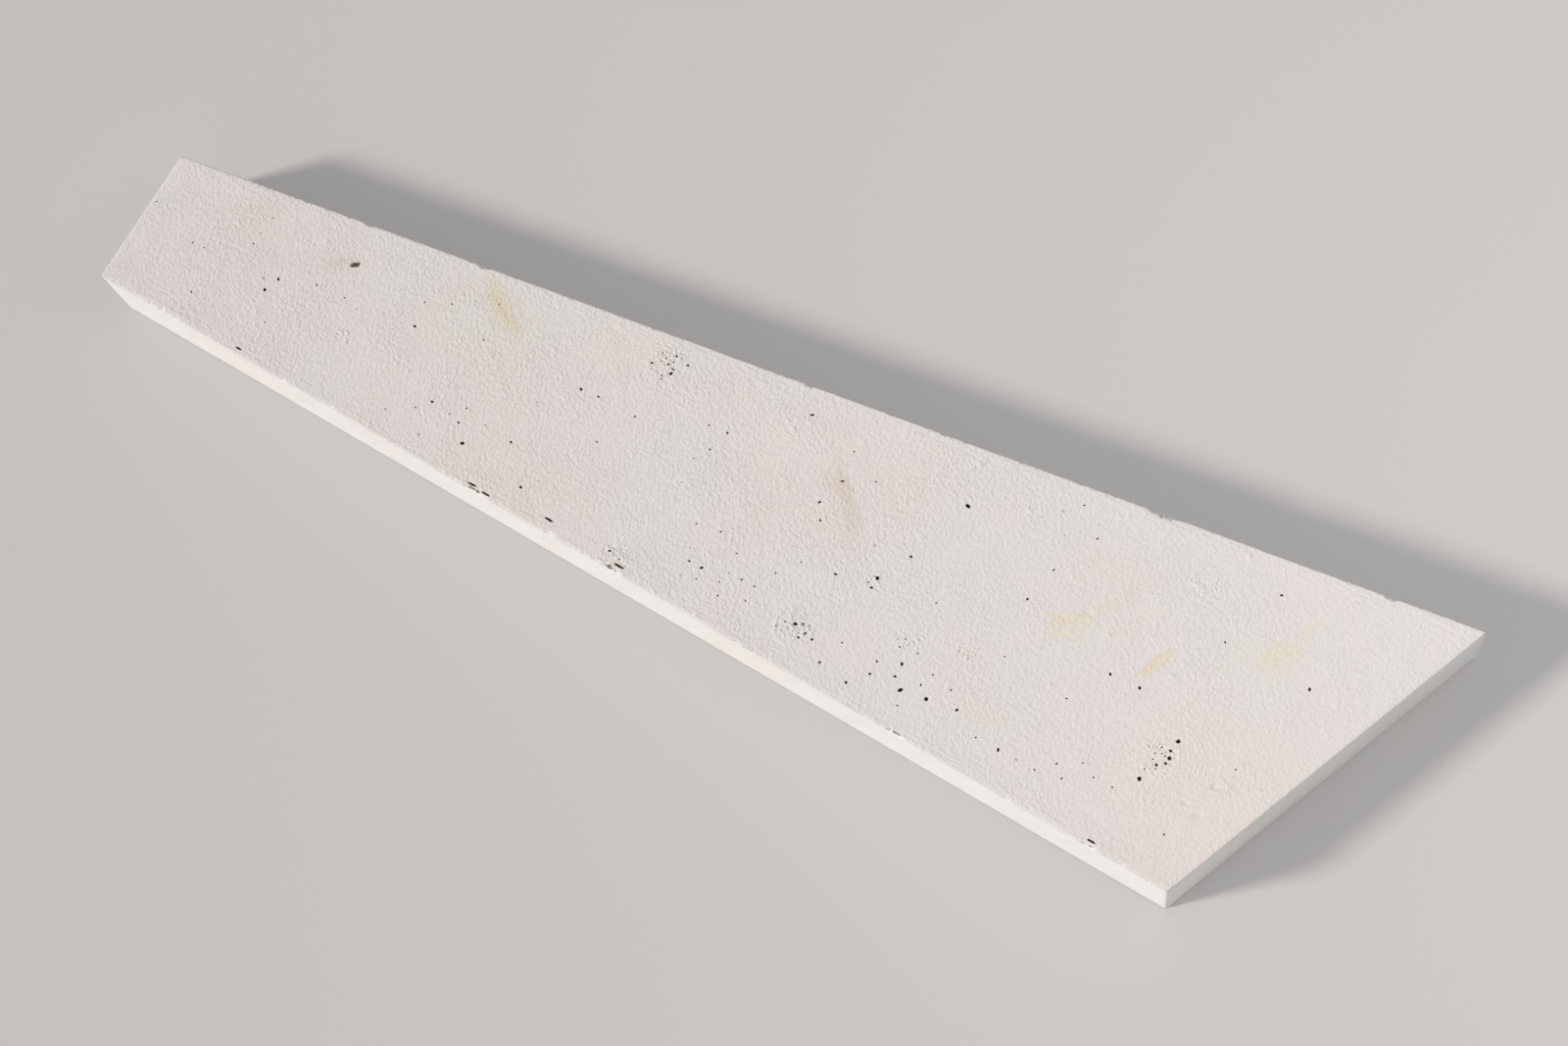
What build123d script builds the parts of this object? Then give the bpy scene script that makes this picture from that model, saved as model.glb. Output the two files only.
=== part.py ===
from build123d import *
import math
import os

# A solid winder step: one tapered block of cast concrete, wide at its outer end and narrow at its
# inner end. It lies on its tread, with its soffit upwards, which is the face seen from below once
# the step is laid. +X runs along the step to its outer end, and -Y is the side of its back face.
# Millimetres. The origin is at the middle of the footprint's bounding box, on the floor.

# Driving dimensions
rise = 150.0  # thickness of the block, which is the height of one step
length = 2550.0  # along the middle of the step, from end to end
soffit_inner_width = 270.0  # of the soffit that shows from below, at the inner end
soffit_outer_width = 630.0  # of the soffit that shows from below, at the outer end
bearing_lap = 30.0  # strip of soffit along the front that the step bears on
outer_slant_deg = 24.0  # turn of the outer end away from square
arris_radius = 3.0  # rounding of the cast and painted edges

inner_width = soffit_inner_width + bearing_lap
outer_width = soffit_outer_width + bearing_lap
side_slope = (outer_width - inner_width) / 2 / length
end_slope = math.tan(math.radians(outer_slant_deg))


def outer_corner(side):
    """Corner of the outline at the outer end. side is 1 at the front and -1 at the back."""
    half_inner = inner_width / 2
    x = (length + side * end_slope * half_inner) / (1 - side * end_slope * side_slope)
    return x, side * (half_inner + side_slope * x)


def outline():
    """The four corners in plan, with the inner end at x = 0 and the step's middle line at y = 0."""
    return [
        (0.0, -inner_width / 2),
        outer_corner(-1),
        outer_corner(1),
        (0.0, inner_width / 2),
    ]


def cast_block():
    """The tapered block with its edges rounded, still placed as the outline is."""
    with BuildPart() as block:
        with BuildSketch():
            with BuildLine():
                Polyline(outline(), close=True)
            make_face()
        extrude(amount=rise)
        fillet(block.edges(), radius=arris_radius)
    return block.part


def winder_step():
    """The finished block, moved so that the middle of its footprint's box is over the origin."""
    block = cast_block()
    middle = block.bounding_box().center()
    return Pos(-middle.X, -middle.Y, 0) * block


step = winder_step()
step.label = "winder_step"
box = step.bounding_box()
print(f"size {box.size.X:.1f} x {box.size.Y:.1f} x {box.size.Z:.1f} mm, volume {step.volume / 1e9:.4f} m3")

os.makedirs("parts", exist_ok=True)
export_step(step, "parts/winder_step.step")
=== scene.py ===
import math
import random

import bmesh
import bpy
from mathutils import Matrix, Vector, kdtree, noise


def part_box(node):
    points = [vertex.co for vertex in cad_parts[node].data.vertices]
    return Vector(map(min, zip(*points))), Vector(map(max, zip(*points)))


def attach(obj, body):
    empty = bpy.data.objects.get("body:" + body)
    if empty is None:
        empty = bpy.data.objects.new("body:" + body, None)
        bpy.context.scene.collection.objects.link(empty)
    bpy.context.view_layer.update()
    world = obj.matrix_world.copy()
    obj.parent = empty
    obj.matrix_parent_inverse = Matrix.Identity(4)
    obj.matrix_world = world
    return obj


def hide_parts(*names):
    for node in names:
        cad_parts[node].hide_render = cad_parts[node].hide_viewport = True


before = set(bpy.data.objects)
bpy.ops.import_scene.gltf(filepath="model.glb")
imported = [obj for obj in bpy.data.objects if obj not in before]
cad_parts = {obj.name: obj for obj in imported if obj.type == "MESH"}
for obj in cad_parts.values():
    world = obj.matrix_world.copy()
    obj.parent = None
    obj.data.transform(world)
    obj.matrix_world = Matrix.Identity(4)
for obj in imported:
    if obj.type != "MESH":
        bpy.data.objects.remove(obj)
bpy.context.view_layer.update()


# Cast block. A winder step is cast in one piece of concrete in a smooth mould, and its soffit is
# one of the moulded faces, so it comes out flat with thin, slightly ragged arrises. It is laid
# without fixings, held by its bearing at both ends and along the front.
mm = 0.001
inner_width = 300 * mm
outer_width = 660 * mm
length = 2550 * mm
outer_slant = math.radians(24)
arris_radius = 3 * mm
skin = 1.6 * mm  # left free inside the solid's box, for what stands proud of the flat faces
cell = 10 * mm  # of the mesh, before it is made finer at the arrises and the marks
cell_across = 1.1 * cell

step_low, step_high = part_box("winder_step")
top = step_high.z - skin
side_slope = (outer_width - inner_width) / 2 / length
end_slope = math.tan(outer_slant)


def outer_x(side):
    """How far from the inner end the outer end meets the front (side 1) or the back (side -1)."""
    return (length + side * end_slope * inner_width / 2) / (1 - side * end_slope * side_slope)


middle_y = step_low.y + inner_width / 2 + side_slope * outer_x(-1)


def side_y(x, side):
    """Where the front (side 1) or the back (side -1) runs at x, before the skin is taken off."""
    return middle_y + side * (inner_width / 2 + side_slope * (x - step_low.x))


block = bmesh.new()
bmesh.ops.create_cube(block, size=2)
for vert in block.verts:
    side = 1 if vert.co.y > 0 else -1
    x = step_low.x + (outer_x(side) - skin if vert.co.x > 0 else skin)
    y = side_y(x, side) - side * skin
    vert.co = (x, y, top if vert.co.z > 0 else step_low.z)
bmesh.ops.bevel(block, geom=block.edges[:], offset=arris_radius, affect="EDGES", segments=3,
                profile=0.5, material=-1)


def divide(shortest, size):
    """Cuts the edges that are longer than shortest, which lie side by side, into cells this long."""
    edges = [edge for edge in block.edges if edge.calc_length() > shortest]
    longest = max(edge.calc_length() for edge in edges)
    bmesh.ops.subdivide_edges(block, edges=edges, cuts=round(longest / size) - 1,
                              use_grid_fill=True)


divide(length / 2, cell)
divide(inner_width / 2, cell_across)
divide(step_high.z / 2, cell)


# Ragged arrises. Where the mould leaked and when it was struck, crumbs broke out of the two long
# arrises of the soffit, and the paint rounded what was left. The chips are up to 64 mm long, with
# small nicks between them.
arris_band = 13 * mm  # strip on each side of an arris with a finer mesh
band_cell = 2.5 * mm
crumb_size = 7 * mm  # about the most that crumbling takes off, measured across both faces
crumb_spacing = 7 * mm
crumb_swell = 31 * mm  # over which the crumbling comes and goes
chip_grain = 6 * mm
chips = (
    # x along the step, side (1 at the front, -1 at the back), half length and size, in mm
    (-1190, -1, 10, 7),
    (-880, -1, 12, 8),
    (-412, -1, 30, 11),
    (-240, -1, 14, 9),
    (-98, -1, 24, 12),
    (180, -1, 9, 8),
    (515, -1, 22, 11),
    (740, -1, 10, 8),
    (905, -1, 13, 9),
    (-900, 1, 14, 8),
    (-640, 1, 18, 9),
    (60, 1, 12, 8),
    (330, 1, 9, 7),
    (760, 1, 32, 11),
    (1180, 1, 15, 9),
)
nick_count = 36
nick_reach = (-1300, 1050)  # the part of the step that has them, in mm
nick_sides = (-1, -1, 1)  # two in three are at the back
nick_half_length = (3, 7)  # least and most, in mm
nick_size = (4, 7)
nicking = random.Random(8)
nicks = [(nicking.uniform(*nick_reach), nicking.choice(nick_sides),
          nicking.uniform(*nick_half_length), nicking.uniform(*nick_size))
         for _ in range(nick_count)]


def from_arris(point, side):
    """How far a point lies in from the side face, and how far down from the soffit."""
    return side * (side_y(point.x, side) - point.y) - skin, top - point.z


def near_arris(edge):
    """True for an edge in the strip along a long arris of the soffit."""
    middle = (edge.verts[0].co + edge.verts[1].co) / 2
    return any(max(from_arris(middle, side)) < arris_band for side in (-1, 1))


banded = [edge for edge in block.edges if near_arris(edge) and edge.calc_length() > cell / 2]
bmesh.ops.subdivide_edges(block, edges=banded, cuts=round(cell / band_cell) - 1, use_grid_fill=True)


# Rough knots, blisters, dents and scratches. Here and there the paste didn't fill the mould, or was
# dabbed on afterwards, and stands as crumbly folds with the arcs of the trowel round it. Drips and
# crumbs under the paint are blisters, and knocks left dents and scratches in the green concrete.
knots = (
    # x, y, radius and height of the rim, in mm, then the share of the trowel's arcs and the way
    # that they face, in degrees
    (-210, 158, 44, 0.3, 0.4, 200),
    (70, 142, 24, 0, 0.2, 90),
    (265, -190, 44, 0.9, 0.3, 20),
    (-107, -228, 40, 0, 0.2, 120),
    (352, -50, 22, 0.5, 0.4, 30),
    (950, -116, 46, 0, 1.0, 25),
    (455, -120, 30, 0, 0.3, 60),
    (880, 200, 34, 0.3, 0.4, -60),
    (-820, -60, 22, 0, 0.3, 150),
    (560, -100, 24, 0, 0.2, 0),
)
blisters = (
    # x, y and radius, in mm
    (-1150, 60, 6), (-1010, -90, 5), (-960, 100, 7), (-660, -70, 5), (-600, 30, 5), (-420, 90, 7),
    (-330, 190, 6), (-60, -80, 6), (-20, 205, 8), (150, 215, 6), (205, 180, 7), (212, 172, 5),
    (390, 60, 6), (420, 232, 8), (540, 190, 6), (655, 120, 8), (664, 112, 5), (690, 250, 7),
    (720, -90, 5), (835, -190, 6), (900, 20, 7), (930, 280, 8), (938, 270, 5), (1040, 60, 5),
    (1130, 290, 6), (980, -250, 6), (-1080, 20, 5), (330, 110, 6), (338, 118, 4), (770, 40, 6),
)
dents = (
    # x, y and radius, in mm
    (1052, -128, 10), (1082, -112, 7), (1018, -176, 8), (1046, -186, 8), (-470, 170, 7),
    (720, 60, 7),
)
scratches = (
    # x, y, half length in mm, and turn in degrees
    (7, 135, 48, 28), (600, -30, 40, 62), (-760, 30, 34, 50), (1010, 170, 44, 20),
)
fold_width = 7 * mm
fold_height = 3.4 * mm
crumb_width = 3.2 * mm
rim_width = 3 * mm  # half of it
rim_place = 0.95  # of a knot's radius
arc_pitch = 8 * mm
arc_height = 0.35 * mm
arc_middle = 1.3  # of a knot's radius, where the arcs are highest
arc_spread = 0.6  # and how far they go on each side of that
blister_height = 0.22  # of its radius
blister_reach = 1.5  # of its radius
dent_depth = 0.3  # of its radius
dent_width = 0.55  # of its length
dent_run_x = 0.87
dent_run_y = 0.46  # with dent_run_x, the way that a dent's long axis lies
scratch_width = 2.4 * mm  # half of it
scratch_depth = 0.5 * mm
scratch_break = 9 * mm  # size of its breaks
swells = ((340 * mm, 0.6), (85 * mm, 0.25))  # of the cast faces: width, and height in mm
fine_cell = 1.7 * mm
already_fine = 2.5 * fine_cell  # a shorter edge isn't cut again
fine_round_knot = 1.15  # of a knot's radius, where the mesh is fine
fine_round_arcs = 0.7  # and this much more for a full share of arcs


def on_soffit(point):
    """True for a point on the soffit, down to the middle of its rounding."""
    return point.z > top - arris_radius / 2


def from_scratch(point, x, y, half_length, turn):
    """How far a point lies from the middle line of a scratch."""
    away = Vector((point.x - x * mm, point.y - y * mm))
    run = Vector((math.cos(math.radians(turn)), math.sin(math.radians(turn))))
    along = min(half_length * mm, max(-half_length * mm, away.dot(run)))
    return (away - run * along).length


def marked(edge):
    """True where the mesh has to be made finer for a mark."""
    middle = (edge.verts[0].co + edge.verts[1].co) / 2
    if edge.calc_length() < already_fine or not on_soffit(middle):
        return False
    for x, y, radius, _, arcs, _ in knots:
        reach = radius * mm * (fine_round_knot + arcs * fine_round_arcs)
        if math.hypot(middle.x - x * mm, middle.y - y * mm) < reach:
            return True
    for x, y, radius in blisters + dents:
        if math.hypot(middle.x - x * mm, middle.y - y * mm) < radius * mm * blister_reach:
            return True
    return any(from_scratch(middle, *scratch) < 2 * scratch_width for scratch in scratches)


bmesh.ops.subdivide_edges(block, edges=[edge for edge in block.edges if marked(edge)],
                          cuts=round(cell / fine_cell) - 1, use_grid_fill=True)


def point_tree():
    """A tree for finding the block's vertices near a place."""
    block.verts.index_update()
    block.verts.ensure_lookup_table()
    made = kdtree.KDTree(len(block.verts))
    for vert in block.verts:
        made.insert(vert.co, vert.index)
    made.balance()
    return made


near = point_tree()
block.normal_update()
lift = [0.0] * len(block.verts)


def lift_round(x, y, reach, height):
    """Adds height(place, distance) to the soffit within reach of x, y, which are given in mm."""
    for place, index, distance in near.find_range(Vector((x * mm, y * mm, top)), reach * mm):
        if on_soffit(place):
            lift[index] += height(place, distance)


# In the heights below, a plain number beside noise is how much that noise counts. Where x or y is
# added to its place, that keeps any two marks from looking alike.
def knot(x, y, radius, rim, arcs, facing):
    """Crumbly folds in a round patch, with trowel arcs on one side and a raised rim on the other."""
    def height(place, distance):
        reach = distance / (radius * mm)
        around = math.atan2(place.y - y * mm, place.x - x * mm) - math.radians(facing)
        folds = 0.5 - 1.7 * abs(noise.noise(place / fold_width + Vector((0, 0, x))))
        crumbs = 0.8 * noise.noise(place / crumb_width + Vector((0, 0, y)))
        patches = 0.7 + 2 * noise.noise(place / (radius * mm) * 1.7 + Vector((x, y, 0)))
        rough = fold_height * (folds + crumbs) * max(0, 1 - reach ** 2) * min(1, max(0, patches))
        wobble = 0.08 * radius * mm * noise.noise(place / (3 * fold_width))
        ridge = max(0, 1 - abs(distance - rim_place * radius * mm + wobble) / rim_width)
        ring = math.sin(math.tau * distance / arc_pitch + 2 * noise.noise(place / (4 * arc_pitch)))
        beside = max(0, 1 - abs(reach - arc_middle) / arc_spread)
        broken = max(0, math.cos(around) + noise.noise(place / (3 * arc_pitch)) - 0.2)
        return (rough + rim * mm * ridge * max(0, 0.3 - math.cos(around))
                + arcs * arc_height * ring * beside * broken)
    return height


def blister(x, radius):
    """A drip or a crumb under the paint, steep-sided, and lopsided in a way that x picks."""
    def height(place, distance):
        lumps = 1.1 * noise.noise(place / (0.7 * radius * mm) + Vector((0, 0, x)))
        dome = max(0, 1 + lumps - 1.5 * (distance / (radius * mm)) ** 2)
        return blister_height * radius * mm * min(0.7, dome)
    return height


def dent(x, y, radius):
    """A shallow oval scoop with one steep edge, towards the inner end and the front."""
    def height(place, distance):
        away_x = place.x - x * mm
        away_y = place.y - y * mm
        along = (dent_run_x * away_x + dent_run_y * away_y) / (radius * mm)
        across = (dent_run_x * away_y - dent_run_y * away_x) / (radius * dent_width * mm)
        across += 0.5 * noise.noise(place / (radius * mm) * 2)
        inside = max(0, 1 - along ** 2 - across ** 2)
        return -dent_depth * radius * mm * min(1, 2.5 * inside) * max(0, 0.45 + 0.55 * across)
    return height


def scratch(x, y, half_length, turn):
    """A broken groove that fades at its ends."""
    def height(place, distance):
        groove = max(0, 1 - from_scratch(place, x, y, half_length, turn) / scratch_width)
        faded = max(0, 1 - (distance / (half_length * mm)) ** 2)
        whole = min(1, max(0, 0.7 + 2 * noise.noise(place / scratch_break)))
        return -scratch_depth * groove * faded * whole
    return height


for x, y, radius, rim, arcs, facing in knots:
    lift_round(x, y, radius * (arc_middle + arc_spread), knot(x, y, radius, rim, arcs, facing))
for x, y, radius in blisters:
    lift_round(x, y, radius * blister_reach, blister(x, radius))
for x, y, radius in dents:
    lift_round(x, y, radius, dent(x, y, radius))
for x, y, half_length, turn in scratches:
    lift_round(x, y, half_length, scratch(x, y, half_length, turn))

# The mould wasn't quite flat, so the cast faces swell a little. Nothing rises past the skin.
for vert in block.verts:
    if vert.co.z > step_low.z + arris_radius:
        swell = sum(noise.noise(vert.co / width) * height * mm for width, height in swells)
        vert.co += vert.normal * min(lift[vert.index] + swell, skin)

# The long arrises break after that, through the marks that reach them. Two layers tell the paint
# where the brush went, and where the concrete is bare, with holes' insides painted near black as
# shade.
brush_width = 45 * mm  # strip of the soffit along an arris that was cut in with a brush
paint_bridges = 2.2  # mm of crumbling that the paint still covers
bare_rise = 0.4  # and how fast bare concrete shows beyond that, for each mm
stony = 0.5  # what the layer bare holds where broken concrete shows
# Painted shade: a hole's inside gets a near-black colour, darker than its dusty concrete.
dusty_hole_shade = 1.0  # and where the dark inside of a hole shows
brushed = block.verts.layers.float.new("brushed")  # 1 at the arris, 0 where only the roller went
bare_and_hole_shade = block.verts.layers.float.new("bare_and_hole_shade")  # 0 on paint
for vert in block.verts:
    if on_soffit(vert.co):
        inwards = min(from_arris(vert.co, side)[0] for side in (-1, 1))
        vert[brushed] = max(0, 1 - inwards / brush_width)
    for side in (-1, 1):
        inwards, down = from_arris(vert.co, side)
        if inwards + down > arris_band:
            continue
        swell = 0.6 * noise.noise(vert.co / crumb_swell)
        crumbs = noise.noise(vert.co / crumb_spacing) + swell - 0.15
        broken = crumb_size * max(0, crumbs)
        for x, chip_side, half_length, size in (*chips, *nicks):
            along = abs(vert.co.x - x * mm) / (half_length * mm)
            if chip_side == side and along < 1:
                bite = 0.75 + 0.5 * noise.noise(vert.co / chip_grain)
                broken = max(broken, size * mm * bite * (1 - along ** 3))
        if broken > inwards + down:
            taken_off = (broken - inwards - down) / 2
            vert.co.y -= side * taken_off
            vert.co.z -= taken_off
            vert[bare_and_hole_shade] = min(stony, max(0, taken_off / mm - paint_bridges) * bare_rise)


# Bug holes. Bubbles of air trapped against the mould leave round holes a few millimetres across,
# in loose swarms. The paint bridges the smallest and fills some of the rest, and where it doesn't
# they show dusty concrete, painted nearly black inside as shade.
pinhole = 1.7  # radius, in mm
small_hole = 2.6
large_hole = 3.8
holes = (
    # x, y and radius, in mm
    (435, 150, large_hole), (960, -82, large_hole), (930, -172, large_hole),
    (490, -214, large_hole), (466, -193, small_hole), (440, -203, large_hole),
    (330, -232, small_hole), (342, -222, large_hole), (530, -205, large_hole),
    (-236, 150, small_hole), (-200, 182, small_hole), (-192, 146, large_hole),
    (-206, 160, small_hole), (-198, 168, pinhole), (-216, 170, pinhole), (-222, 160, pinhole),
    (-510, -117, small_hole), (-485, -151, large_hole), (-35, 87, small_hole),
    (685, -235, small_hole), (352, -46, large_hole), (350, -66, small_hole),
    (258, -186, large_hole), (270, -180, small_hole), (282, -196, small_hole),
    (300, -200, small_hole), (240, -192, pinhole), (957, -102, small_hole),
    (960, -116, large_hole), (958, -128, small_hole), (944, -136, small_hole),
    (936, -130, pinhole), (-700, 20, small_hole), (1010, 240, small_hole), (90, 190, small_hole),
    (-1020, -40, large_hole), (610, 40, small_hole), (860, -20, small_hole),
    (205, 90, small_hole), (1120, 100, small_hole), (-330, 40, small_hole),
    (-120, -215, small_hole), (-96, -222, pinhole),
)
slits = (
    # x, distance in from the back arris, half length and half width, in mm
    (-424, 9, 13, 2.4), (-392, 7, 12, 2.2), (-252, 22, 12, 2.8), (-86, 14, 12, 2.4),
    (512, 9, 14, 2.4), (905, 10, 9, 2.2), (-1000, 11, 9, 2.2),
)
broken_hole = (-880, 83, 6.5)  # x, y and radius of a hole that broke out down to the stones
swarms = (
    # x, y, spread along and across, in mm, and how many
    (-1050, 0, 220, 90, 16),
    (-550, -120, 130, 45, 14),
    (-210, 158, 34, 30, 8),
    (95, -159, 120, 60, 18),
    (265, -190, 34, 26, 8),
    (470, -190, 110, 55, 26),
    (630, 205, 90, 40, 9),
    (765, -215, 120, 50, 20),
    (950, -116, 34, 34, 9),
    (0, 0, 1300, 260, 60),
)
pinhole_share = 0.75  # of the holes in the swarms
filled_share = 0.2  # of them too, and the paint fills these
level_enough = 0.6  # the least Z of the unit normals round a mouth
mouth_share = 0.9  # of a hole's radius, within which the mesh is opened
mouth_limit = 0.95  # of how far out a vertex was, past which a mouth may fold over its neighbours
ragged = (0.8, 1.15)  # a mouth's radius, as a share of the hole's
drawn_out = (0, 0.8)  # how much longer than wide a round hole's mouth is, as a share of its width
wall_lean = 0.12  # how far a hole narrows on its way down, of its radius
wall_depth = 0.9  # of its radius
cup_depth = 0.8  # of its radius, below the wall

scatter = random.Random(5)
back_arris = Vector((1, -side_slope, 0)).normalized()
wanted = []
for x, y, radius in holes:
    wanted.append((x, y, radius, 1, dusty_hole_shade))
for x, inwards, half_length, half_width in slits:
    y = (side_y(x * mm, -1) + skin) / mm + inwards
    wanted.append((x, y, half_width, half_length / half_width, dusty_hole_shade))
wanted.append((*broken_hole, 1, stony))
for x, y, along, across, count in swarms:
    for _ in range(count):
        radius = pinhole if scatter.random() < pinhole_share else small_hole
        shown = dusty_hole_shade if scatter.random() > filled_share else 0
        wanted.append((scatter.gauss(x, along / 2), scatter.gauss(y, across / 2), radius, 1, shown))

near = point_tree()
block.normal_update()
block.faces.index_update()
taken = set()
mouths = []
for x, y, radius, stretch, shown in wanted:
    radius *= mm
    centre, index, distance = near.find(Vector((x * mm, y * mm, top)))
    inside = {index}
    for place, other, _ in near.find_range(centre, mouth_share * radius * stretch):
        along = (place - centre).dot(back_arris) / stretch
        away_squared = (place - centre).length_squared + along ** 2 * (1 - stretch ** 2)
        if away_squared < (mouth_share * radius) ** 2:
            inside.add(other)
    faces = {face for i in inside for face in block.verts[i].link_faces}
    rim = {vert.index for face in faces for vert in face.verts}
    level = all(block.verts[i].normal.z > level_enough for i in rim)
    # Where fine cells meet coarse ones, faces have five corners or more, and a round mouth would
    # fold there.
    even = stretch > 1 or all(len(face.verts) < 5 for face in faces)
    if distance < cell and level and even and not rim & taken:
        taken |= rim
        mouths.append((centre, radius, stretch, shown, sorted(faces, key=lambda face: face.index)))

middles = kdtree.KDTree(len(mouths))
for number, (centre, *_) in enumerate(mouths):
    middles.insert(centre, number)
middles.balance()
merged = bmesh.ops.dissolve_faces(
    block, faces=[face for *_, faces in mouths for face in faces], use_verts=False)["region"]
openings = {}
for face in merged:
    number = middles.find(face.calc_center_median())[1]
    centre, radius, stretch, shown, _ = mouths[number]
    openings.setdefault((radius, shown), []).append(face)
    turn = scatter.uniform(0, math.tau)
    long_way = back_arris if stretch > 1 else Vector((math.cos(turn), math.sin(turn), 0))
    longer = stretch - 1 if stretch > 1 else scatter.uniform(*drawn_out)
    for vert in face.verts:
        out = vert.co - centre
        out.z = 0
        widest = mouth_limit * out.length
        if stretch > 1:
            out -= long_way * out.dot(long_way) * (1 - 1 / stretch)
        out = out.normalized() * radius * scatter.uniform(*ragged)
        out += long_way * out.dot(long_way) * longer
        out *= min(1, widest / out.length)
        vert.co = (centre.x + out.x, centre.y + out.y, (vert.co.z + centre.z) / 2)
    for edge in face.edges:
        edge.smooth = False
for (radius, shown), faces in openings.items():
    bmesh.ops.inset_individual(block, faces=faces, thickness=radius * wall_lean,
                               depth=-radius * wall_depth, use_even_offset=False)
    cupped = bmesh.ops.poke(block, faces=faces)
    for vert in cupped["verts"]:
        vert.co.z -= radius * cup_depth
    for face in cupped["faces"]:
        for vert in face.verts:
            vert[bare_and_hole_shade] = shown

for face in block.faces:
    face.smooth = True
# The tread is plain and flat, so its cells are merged.
tread = [face for face in block.faces
         if all(vert.co.z < step_low.z + 0.01 * mm for vert in face.verts)]
for face in bmesh.ops.dissolve_faces(block, faces=tread, use_verts=False)["region"]:
    face.smooth = False
many_sided = [face for face in block.faces if len(face.verts) > 4]
bmesh.ops.triangulate(block, faces=many_sided, quad_method="BEAUTY", ngon_method="BEAUTY")

mesh = bpy.data.meshes.new("step_block")
block.to_mesh(mesh)
block.free()
step = bpy.data.objects.new("step_block", mesh)
bpy.context.scene.collection.objects.link(step)


# White masonry paint. A thick matt acrylic over cast concrete, rolled on in two coats and cut in
# with a brush along the arrises and down the sides. It gives the eye a chalky orange peel, coats
# that differ a little in warmth, and a few yellow and tan smears that came through.
def linear(code):
    """A colour written as sRGB hex, as Blender's linear RGBA."""
    parts = [int(code[i:i + 2], 16) / 255 for i in (1, 3, 5)]
    return (*[p / 12.92 if p <= 0.04045 else ((p + 0.055) / 1.055) ** 2.4 for p in parts], 1)


def node(tree, kind, inputs, output=0, **settings):
    """Adds a node with its settings, and values or links for its inputs. Gives back an output."""
    made = tree.nodes.new(kind)
    for name, value in settings.items():
        setattr(made, name, value)
    for socket, value in inputs.items():
        if isinstance(value, bpy.types.NodeSocket):
            tree.links.new(value, made.inputs[socket])
        else:
            made.inputs[socket].default_value = value
    return made.outputs[output] if made.outputs else None


paint = bpy.data.materials.new("masonry_paint_on_concrete")
paint.use_nodes = True
coats = paint.node_tree
coats.nodes.clear()
place = node(coats, "ShaderNodeTexCoord", {}, "Object")
place_x = node(coats, "ShaderNodeSeparateXYZ", {0: place}, "X")
place_z = node(coats, "ShaderNodeSeparateXYZ", {0: place}, "Z")
on_sides = node(coats, "ShaderNodeMapRange", {
    "Value": place_z, "From Min": top - arris_radius / 2, "From Max": top - 2 * arris_radius})
brush = node(coats, "ShaderNodeAttribute", {}, "Fac", attribute_name="brushed")
bared_and_hole_shaded = node(coats, "ShaderNodeAttribute", {}, "Fac", attribute_name="bare_and_hole_shade")


def paint_marks(width, detail=2, roughness=0.5, stretch=(1, 1, 1), turn=(0, 0, 0), shift=0):
    """What a roller or a brush leaves: marks this wide, drawn out and turned, from 0 to 1."""
    drawn = node(coats, "ShaderNodeMapping", {
        "Vector": place, "Rotation": [math.radians(angle) for angle in turn],
        "Location": (shift, shift, shift), "Scale": stretch}, vector_type="TEXTURE")
    return node(coats, "ShaderNodeTexNoise", {
        "Vector": drawn, "Scale": 1 / width, "Detail": detail, "Roughness": roughness})


# In a mix of colours, socket 0 is how much is covered, 6 is the colour underneath and 7 the one
# that covers it, and output 2 is the result.
def second_coat(under, tint, width, thin, thick, shift):
    """A second coat in another tint, which covers the first in patches this wide."""
    cover = node(coats, "ShaderNodeMapRange", {
        "Value": paint_marks(width, shift=shift), "From Min": thin, "From Max": thick},
        interpolation_type="SMOOTHSTEP")
    return node(coats, "ShaderNodeMix", {0: cover, 6: under, 7: linear(tint)}, 2, data_type="RGBA")


# The smears share one wavering of the place, so that their edges are torn and not drawn.
tear_width = 26 * mm
tear_reach = 40 * mm
tear = node(coats, "ShaderNodeTexNoise", {
    "Vector": place, "Scale": 1 / tear_width, "Detail": 4, "Roughness": 0.65}, "Color")
torn = node(coats, "ShaderNodeVectorMath", {
    0: tear, 1: (tear_reach, tear_reach, 0), 2: place}, operation="MULTIPLY_ADD")
smears = (
    # x, y, half length and half width in mm, turn in degrees, tint and strength
    (-580, 124, 84, 46, -27, "#DECDB2", 0.7),
    (-552, 108, 68, 22, -30, "#DCC894", 0.85),
    (222, 55, 104, 34, -47, "#D4C4B0", 0.9),
    (-1120, 70, 74, 50, 15, "#E0D0B2", 0.5),
    (700, 18, 46, 34, 20, "#E4D5A8", 0.8),
    (762, 104, 104, 16, 57, "#E2D2B4", 0.6),
    (800, 70, 80, 13, 53, "#E4D6BC", 0.55),
    (872, 26, 54, 16, 60, "#E0CB98", 0.85),
    (640, -190, 54, 24, 5, "#E4D4B4", 0.5),
    (1062, 122, 46, 44, 60, "#E4D5AC", 0.75),
    (1080, 176, 60, 16, 76, "#E4D6B0", 0.6),
    (-905, 66, 44, 20, 30, "#CDB99C", 0.6),
)


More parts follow.
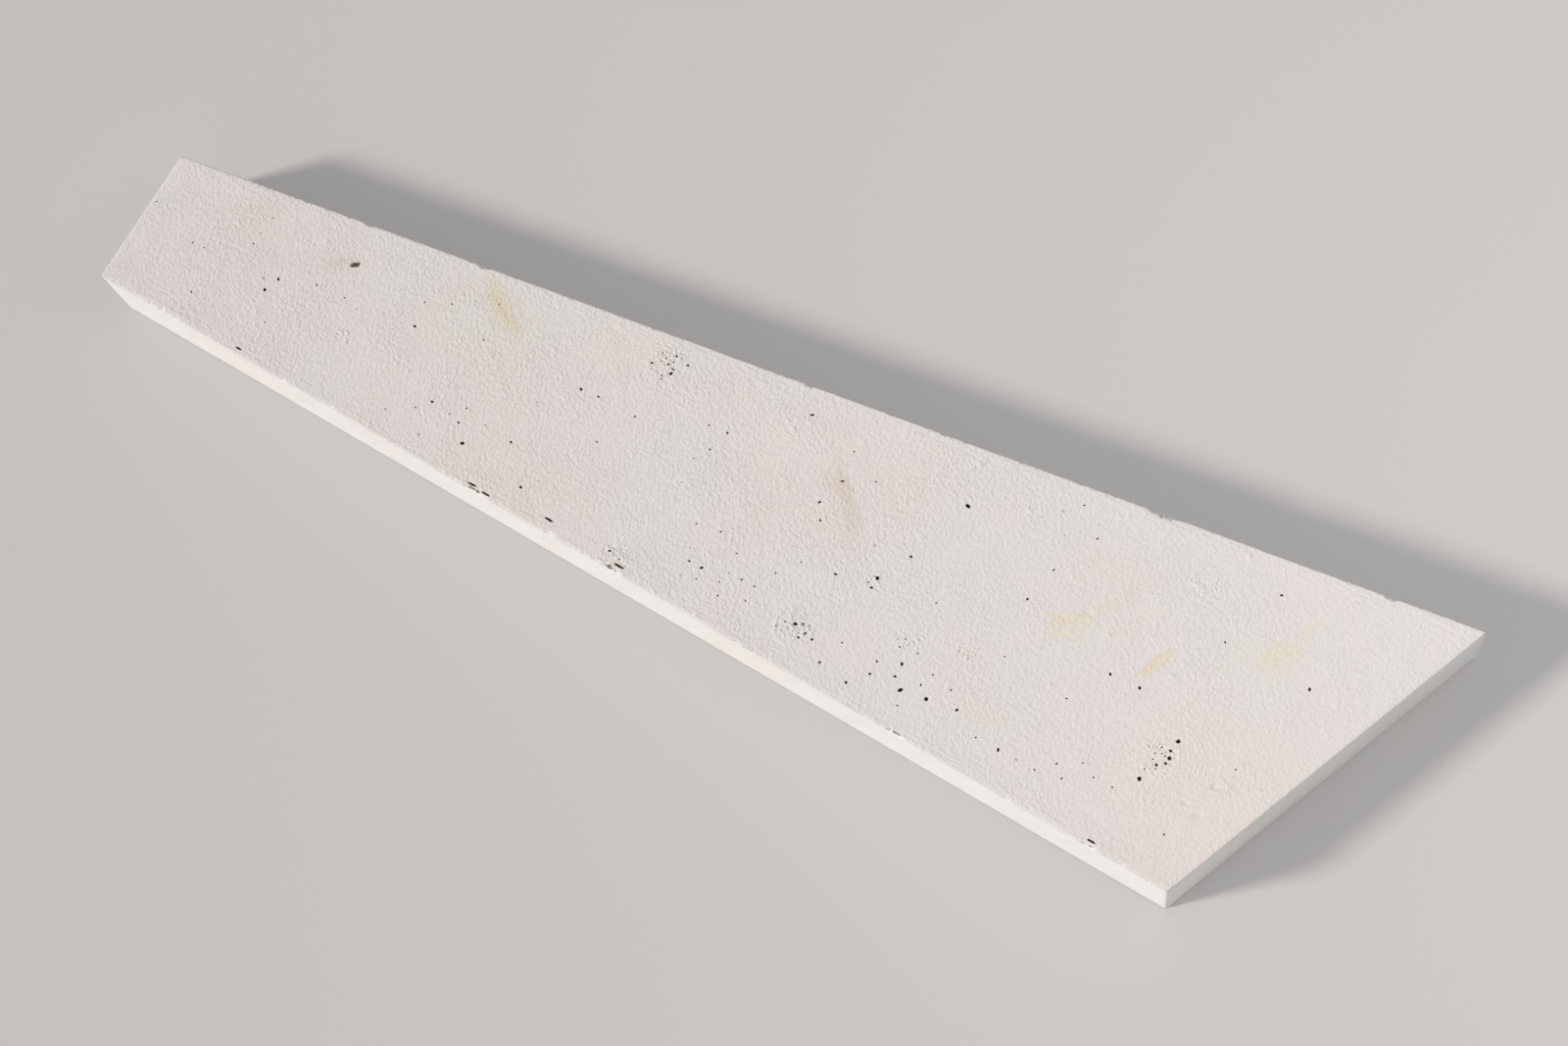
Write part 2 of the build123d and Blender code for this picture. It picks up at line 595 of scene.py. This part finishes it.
def smear(under, x, y, half_length, half_width, turn, tint, strength):
    """A streaky smear on the soffit, sharp along its +Y side and soft along the other."""
    local = node(coats, "ShaderNodeMapping", {
        "Vector": torn, "Rotation": (0, 0, math.radians(turn)),
        "Location": (x * mm + tear_reach / 2, y * mm + tear_reach / 2, top),
        "Scale": (half_length * mm, half_width * mm, 1)}, vector_type="TEXTURE")
    along = node(coats, "ShaderNodeSeparateXYZ", {0: local}, "X")
    across = node(coats, "ShaderNodeSeparateXYZ", {0: local}, "Y")
    soft = node(coats, "ShaderNodeMapRange", {
        "Value": across, "From Min": -1.0, "From Max": 0.6}, interpolation_type="SMOOTHSTEP")
    sharp = node(coats, "ShaderNodeMapRange", {
        "Value": across, "From Min": 0.95, "From Max": 0.7}, interpolation_type="SMOOTHSTEP")
    lengthwise = node(coats, "ShaderNodeVectorMath", {0: local, 1: (0.7, 5, 0)},
                      operation="MULTIPLY")
    streaks = node(coats, "ShaderNodeTexNoise", {"Vector": lengthwise, "Scale": 1.0, "Detail": 3})
    streaky = node(coats, "ShaderNodeMapRange", {
        "Value": streaks, "From Min": 0.62, "From Max": 0.32, "To Min": 0.2 * strength,
        "To Max": strength})
    from_middle = node(coats, "ShaderNodeMath", {0: along}, operation="ABSOLUTE")
    uneven_end = node(coats, "ShaderNodeMath", {0: streaks, 1: 1.2, 2: from_middle},
                      operation="MULTIPLY_ADD")
    cover = node(coats, "ShaderNodeMapRange", {
        "Value": uneven_end, "From Min": 1.6, "From Max": 0.8}, interpolation_type="SMOOTHSTEP")
    for part in (soft, sharp, streaky):
        cover = node(coats, "ShaderNodeMath", {0: cover, 1: part}, operation="MULTIPLY")
    return node(coats, "ShaderNodeMix", {0: cover, 6: under, 7: linear(tint)}, 2, data_type="RGBA")


# The roller's orange peel is heavier where the roller was freshly loaded, fainter as it ran dry
# towards the outer end, and far fainter on the sides, which were brushed. Its hollows are painted
# darker, as painted shade.
peel = paint_marks(7 * mm, detail=3, roughness=0.6, stretch=(1, 1.15, 1), turn=(0, 0, 15))
peel_depth = 2.5 * mm
side_peel_depth = 0.3 * peel_depth
peel_load = node(coats, "ShaderNodeMapRange", {
    "Value": paint_marks(110 * mm, detail=3, shift=9), "From Min": 0.35, "From Max": 0.65,
    "To Min": 0.7, "To Max": 1.2})
peel_dried = node(coats, "ShaderNodeMapRange", {
    "Value": place_x, "From Min": 0, "From Max": step_high.x, "To Min": 1.35, "To Max": 0.65})
peel_hollow_shade = node(coats, "ShaderNodeMapRange", {
    "Value": peel, "From Min": 0.6, "From Max": 0.3, "To Max": 0.12},
    interpolation_type="SMOOTHSTEP")

colour = second_coat(linear("#E1DBD8"), "#DFDCD9", 300 * mm, 0.38, 0.72, shift=3)
colour = second_coat(colour, "#E2D9D6", 170 * mm, 0.44, 0.80, shift=7)
colour = second_coat(colour, "#E3DAD1", 520 * mm, 0.50, 0.95, shift=1)
# Painted shade: the peel's hollows are darkened towards this grey.
colour = node(coats, "ShaderNodeMix", {0: peel_hollow_shade, 6: colour, 7: linear("#B9B1AD")}, 2,
              data_type="RGBA")
for mark in smears:
    colour = smear(colour, *mark)

# The sides were painted by brush alone, in wide slanting strokes. Their white is whiter and cooler
# than the soffit's, partly from the brushing and partly as painted light for the bright, cool light
# on them.
side_white_with_painted_light = second_coat(linear("#EBECEA"), "#EDEAE7", 330 * mm, 0.42, 0.62, shift=11)
stroke = paint_marks(38 * mm, detail=4, stretch=(1, 1, 3.5), turn=(0, 35, 0))
stroke_cover = node(coats, "ShaderNodeMapRange", {
    "Value": stroke, "From Min": 0.35, "From Max": 0.65, "To Min": 0.7, "To Max": 1.0})
whiter = node(coats, "ShaderNodeMath", {0: stroke_cover, 1: on_sides}, operation="MULTIPLY")
colour = node(coats, "ShaderNodeMix", {0: whiter, 6: colour, 7: side_white_with_painted_light}, 2, data_type="RGBA")
# Broken concrete is a dusty tan. The inside of a hole is nearly black: dusty concrete with painted
# shade. Each comes in between two values of the layer that holds bare concrete and hole shade.
for tint, first, last in (("#8B7B68", 0.1, 0.4), ("#2B2520", 0.55, 0.9)):
    shown = node(coats, "ShaderNodeMapRange", {"Value": bared_and_hole_shaded, "From Min": first, "From Max": last})
    colour = node(coats, "ShaderNodeMix", {0: shown, 6: colour, 7: linear(tint)}, 2,
                  data_type="RGBA")

# Sand in the paint is about 1 mm, and is drawn at 3.2 mm here so that it shows.
sand = paint_marks(3.2 * mm, roughness=0.6)
sand_depth = 0.65 * mm
cut_in = paint_marks(5 * mm, detail=3, stretch=(18, 1, 18), turn=(0, 0, -4))
cut_in_depth = 2.0 * mm
bristles = paint_marks(6 * mm, detail=3, stretch=(1, 1, 10), turn=(0, 35, 0))
bristles_depth = 0.5 * mm
rolled = node(coats, "ShaderNodeMapRange", {
    "Value": on_sides, "To Min": peel_depth, "To Max": side_peel_depth})
for load in (peel_load, peel_dried):
    rolled = node(coats, "ShaderNodeMath", {0: rolled, 1: load}, operation="MULTIPLY")
height = node(coats, "ShaderNodeMath", {0: peel, 1: rolled}, operation="MULTIPLY")
height = node(coats, "ShaderNodeMath", {0: sand, 1: sand_depth, 2: height},
              operation="MULTIPLY_ADD")
for marks, depth, where in ((cut_in, cut_in_depth, brush), (bristles, bristles_depth, on_sides)):
    depth = node(coats, "ShaderNodeMath", {0: where, 1: depth}, operation="MULTIPLY")
    height = node(coats, "ShaderNodeMath", {0: marks, 1: depth, 2: height},
                  operation="MULTIPLY_ADD")
relief = node(coats, "ShaderNodeBump", {"Height": height, "Distance": 1.0, "Strength": 1.0})
roughness = node(coats, "ShaderNodeMapRange", {
    "Value": paint_marks(60 * mm, shift=5), "From Min": 0.3, "From Max": 0.7, "To Min": 0.72,
    "To Max": 0.86})
shader = node(coats, "ShaderNodeBsdfPrincipled", {
    "Base Color": colour, "IOR": 1.47, "Roughness": roughness, "Normal": relief})
node(coats, "ShaderNodeOutputMaterial", {"Surface": shader})
mesh.materials.append(paint)

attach(step, "root")
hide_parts("winder_step")


# Studio. The step lies on a plain pale floor, under a soft key that rakes across it from beyond
# the inner end and the back, with a wide soft box over the outer end. An even light from all
# round fills the shaded faces. What is seen past the floor has the floor's own colour.
floor_mesh = bpy.data.meshes.new("studio_floor")
floor_grid = bmesh.new()
bmesh.ops.create_grid(floor_grid, x_segments=1, y_segments=1, size=12)
floor_grid.to_mesh(floor_mesh)
floor_grid.free()
studio_floor = bpy.data.objects.new("studio_floor", floor_mesh)
bpy.context.scene.collection.objects.link(studio_floor)
grey = bpy.data.materials.new("studio_grey")
grey.use_nodes = True
floor_shader = grey.node_tree.nodes["Principled BSDF"]
floor_shader.inputs["Base Color"].default_value = linear("#C9C7C5")
floor_shader.inputs["Roughness"].default_value = 0.9
floor_mesh.materials.append(grey)

box_place = Vector((2.4, 0.8, 3.2))
soft_box = bpy.data.lights.new("over_outer_end", "AREA")
soft_box.size = 2.6
soft_box.energy = 28
over_outer_end = bpy.data.objects.new("over_outer_end", soft_box)
over_outer_end.location = box_place
over_outer_end.rotation_euler = box_place.to_track_quat("Z", "Y").to_euler()
over_outer_end.visible_camera = False
bpy.context.scene.collection.objects.link(over_outer_end)

key_from = Vector((-0.66, -0.58, 0.46))
sun = bpy.data.lights.new("key", "SUN")
sun.energy = 2.5
sun.angle = math.radians(9)
sun.color = linear("#FFFAF8")[:3]
key = bpy.data.objects.new("key", sun)
key.rotation_euler = key_from.to_track_quat("Z", "Y").to_euler()
bpy.context.scene.collection.objects.link(key)

world = bpy.data.worlds.new("studio")
world.use_nodes = True
bpy.context.scene.world = world
sky = world.node_tree
sky.nodes.clear()
seen = node(sky, "ShaderNodeBackground", {"Color": linear("#C0BDBA"), "Strength": 1.0})
lit = node(sky, "ShaderNodeBackground", {"Color": linear("#FFFFFF"), "Strength": 0.49})
direct = node(sky, "ShaderNodeLightPath", {}, "Is Camera Ray")
for kind in ("Is Glossy Ray", "Is Transmission Ray"):
    direct = node(sky, "ShaderNodeMath", {0: direct, 1: node(sky, "ShaderNodeLightPath", {}, kind)},
                  operation="MAXIMUM")
surroundings = node(sky, "ShaderNodeMixShader", {0: direct, 1: lit, 2: seen})
node(sky, "ShaderNodeOutputWorld", {"Surface": surroundings})


# Camera. It looks down on the soffit from where the photograph was taken, beyond the back and
# towards the outer end, and it is rolled so that the step runs down to the right.
aim = Vector((0.147, -0.026, top))  # what it looks at
stand = Vector((1.17, -1.05, 3.93))  # where it stands, from there
run_down = math.radians(25)  # how steeply the step runs down across the picture
camera_data = bpy.data.cameras.new("camera")
camera_data.lens = 53
camera = bpy.data.objects.new("camera", camera_data)
back = stand.normalized()
along = (Vector((1, 0, 0)) - back * back.x).normalized()
right = along * math.cos(run_down) + back.cross(along) * math.sin(run_down)
up = back.cross(right)
turned = Matrix((right, up, back)).transposed().to_4x4()
camera.matrix_world = Matrix.Translation(aim + stand) @ turned
bpy.context.scene.collection.objects.link(camera)
bpy.context.scene.camera = camera
bpy.context.scene.view_settings.view_transform = "Standard"
